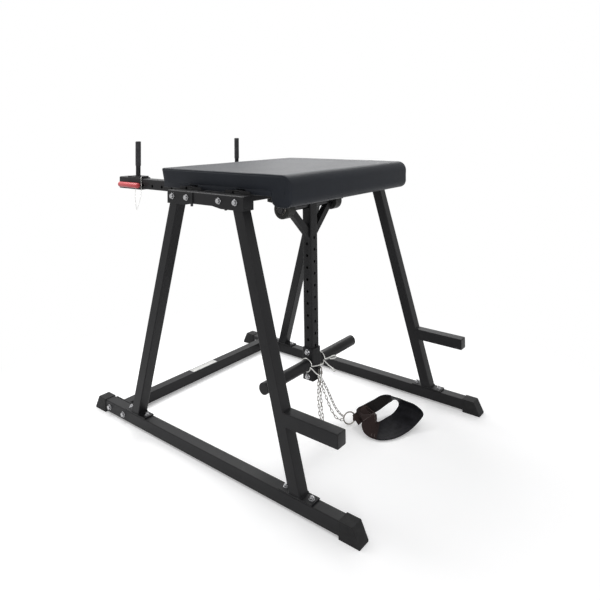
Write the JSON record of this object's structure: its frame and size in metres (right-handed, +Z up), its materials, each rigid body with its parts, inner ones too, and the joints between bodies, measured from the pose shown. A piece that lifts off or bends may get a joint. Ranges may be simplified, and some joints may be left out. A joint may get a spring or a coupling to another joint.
{
  "type": "reverse hyperextension machine",
  "caption": "Floor-standing steel frame with a padded top, a swinging pendulum with weight sleeves, a padded ankle strap on a chain and two adjustable upright handles.",
  "frame": {"origin": "on the floor, under the middle of the machine's bounding box", "axes": "+X from the handles to the side where the legs swing, +Y to the far side, +Z up"},
  "size_m": [1.5603, 1.1092, 1.294],
  "materials": {
    "powder_coat": "black textured powder coat, satin",
    "cast_iron": "black painted cast iron",
    "zinc": "zinc plated",
    "bright_steel": "bright plated steel",
    "rubber": "black moulded rubber",
    "black_plastic": "black moulded plastic",
    "vinyl": "black upholstery vinyl with a fine grain",
    "plywood": "bare plywood",
    "webbing": "dark woven webbing and padded fabric",
    "red_plastic": "red moulded grip"
  },
  "bodies": {
    "frame": {"base_rail_near": "powder_coat", "base_rail_far": "powder_coat", "rear_foot_near": "rubber", "rear_foot_far": "rubber", "front_foot_near": "rubber", "front_foot_far": "rubber", "rear_crossmember": "powder_coat", "rail_bolt_near_1": "zinc", "rail_bolt_near_2": "zinc", "rail_bolt_far_1": "zinc", "rail_bolt_far_2": "zinc", "rear_leg_near": "powder_coat", "rear_leg_far": "powder_coat", "front_leg_near": "powder_coat", "front_leg_far": "powder_coat", "top_beam_near": "powder_coat", "top_beam_far": "powder_coat", "beam_bolt_near_1": "zinc", "beam_bolt_near_2": "zinc", "beam_bolt_near_3": "zinc", "beam_bolt_near_4": "zinc", "beam_bolt_far_1": "zinc", "beam_bolt_far_2": "zinc", "beam_bolt_far_3": "zinc", "beam_bolt_far_4": "zinc", "rear_cross_tube": "powder_coat", "front_cross_tube": "powder_coat", "handle_tube_near": "powder_coat", "handle_tube_far": "powder_coat", "pad_board": "plywood", "pad_cushion": "vinyl", "bearing_housing_near": "cast_iron", "bearing_housing_far": "cast_iron"},
    "pendulum": {"bearing_ring_near": "bright_steel", "bearing_ring_far": "bright_steel", "pivot_shaft": "bright_steel", "pendulum_upright": "powder_coat", "weight_carrier": "powder_coat", "upright_bolt_1": "zinc", "upright_bolt_2": "zinc", "weight_sleeve_near": "powder_coat", "weight_sleeve_far": "powder_coat", "sleeve_plug_near": "black_plastic", "sleeve_plug_far": "black_plastic"},
    "strap": {"snap_ring": "bright_steel", "chain_strand_near": "bright_steel", "chain_strand_far": "bright_steel", "chain_tail": "bright_steel", "strap_ring": "bright_steel", "ankle_strap": "webbing"},
    "handle_near": {"handle_carriage_near": "powder_coat", "handle_grip_near": "rubber", "pin_lanyard_near": "bright_steel"},
    "handle_far": {"handle_carriage_far": "powder_coat", "handle_grip_far": "rubber", "pin_lanyard_far": "bright_steel"},
    "pin_near": {"pull_pin_near": "red_plastic"},
    "pin_far": {"pull_pin_far": "red_plastic"},
    "clip_near": {"spring_clip_near": "bright_steel"},
    "clip_far": {"spring_clip_far": "bright_steel"}
  },
  "joints": [
    {"name": "pendulum_swing", "type": "hinge", "parent": "frame", "child": "pendulum", "pos_m": [0.177, 0, 0.994], "axis": [0, -1, 0], "range_deg": [-45, 90]},
    {"name": "strap_swing", "type": "hinge", "parent": "pendulum", "child": "strap", "pos_m": [0.221, 0.006, 0.2475], "axis": [0, 1, 0], "range_deg": [-60, 0]},
    {"name": "handle_near_slide", "type": "slide", "parent": "frame", "child": "handle_near", "axis": [1, 0, 0], "range_m": [0, 0.225]},
    {"name": "handle_far_slide", "type": "slide", "parent": "frame", "child": "handle_far", "axis": [1, 0, 0], "range_m": [0, 0.225]},
    {"name": "pin_near_pull", "type": "slide", "parent": "handle_near", "child": "pin_near", "axis": [0, -1, 0], "range_m": [-0.004, 0.04]},
    {"name": "pin_far_pull", "type": "slide", "parent": "handle_far", "child": "pin_far", "axis": [0, 1, 0], "range_m": [-0.004, 0.04]},
    {"name": "clip_near_slide", "type": "slide", "parent": "pendulum", "child": "clip_near", "axis": [0, -1, 0], "range_m": [0, 0.24]},
    {"name": "clip_far_slide", "type": "slide", "parent": "pendulum", "child": "clip_far", "axis": [0, 1, 0], "range_m": [0, 0.24]}
  ]
}
